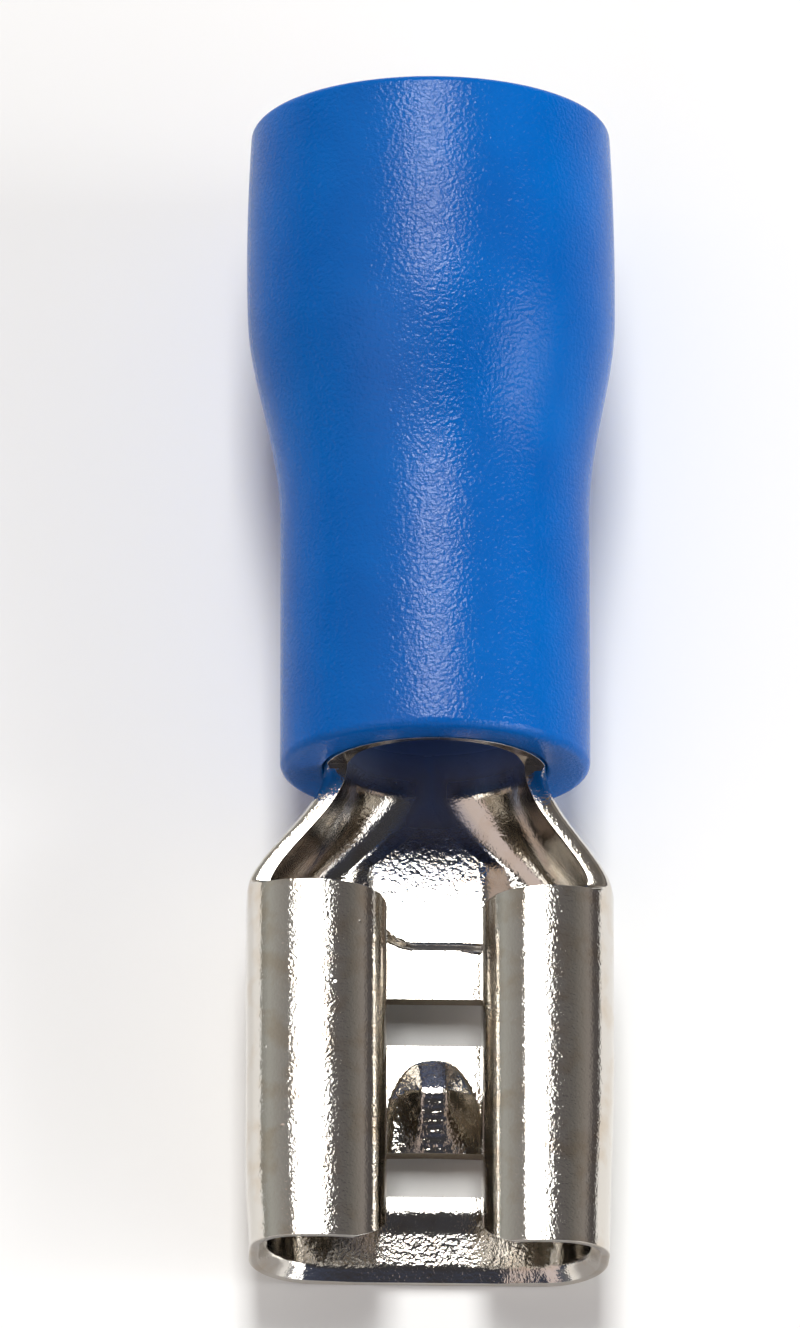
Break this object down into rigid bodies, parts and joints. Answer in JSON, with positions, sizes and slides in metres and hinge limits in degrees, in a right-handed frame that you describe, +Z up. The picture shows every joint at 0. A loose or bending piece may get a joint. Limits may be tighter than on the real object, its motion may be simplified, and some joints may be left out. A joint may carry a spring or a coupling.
{
  "type": "spade terminal",
  "caption": "Insulated female spade terminal: rolled tinned receptacle with an open neck and crimp barrel inside a blue funnel-shaped plastic sleeve.",
  "frame": {"origin": "centre of the bounding box in x and y, on the plane that the part lies on, its lowest points: the front edge of the floor and the lower front edge of the sleeve", "axes": "the terminal's axis lies in the yz plane: the mouth faces -Y and the wire enters from +Y, with the axis rising 4.9 degrees toward +Y as the part lies at rest; +X across the mouth; +Z up, the side with the gap between the rolls"},
  "size_m": [0.006, 0.0194, 0.0063],
  "materials": {
    "tinned_brass": "bright tin plate over stamped brass",
    "blue_pvc": "satin moulded PVC"
  },
  "bodies": {
    "root": {"terminal": "tinned_brass", "sleeve": "blue_pvc"}
  },
  "joints": []
}
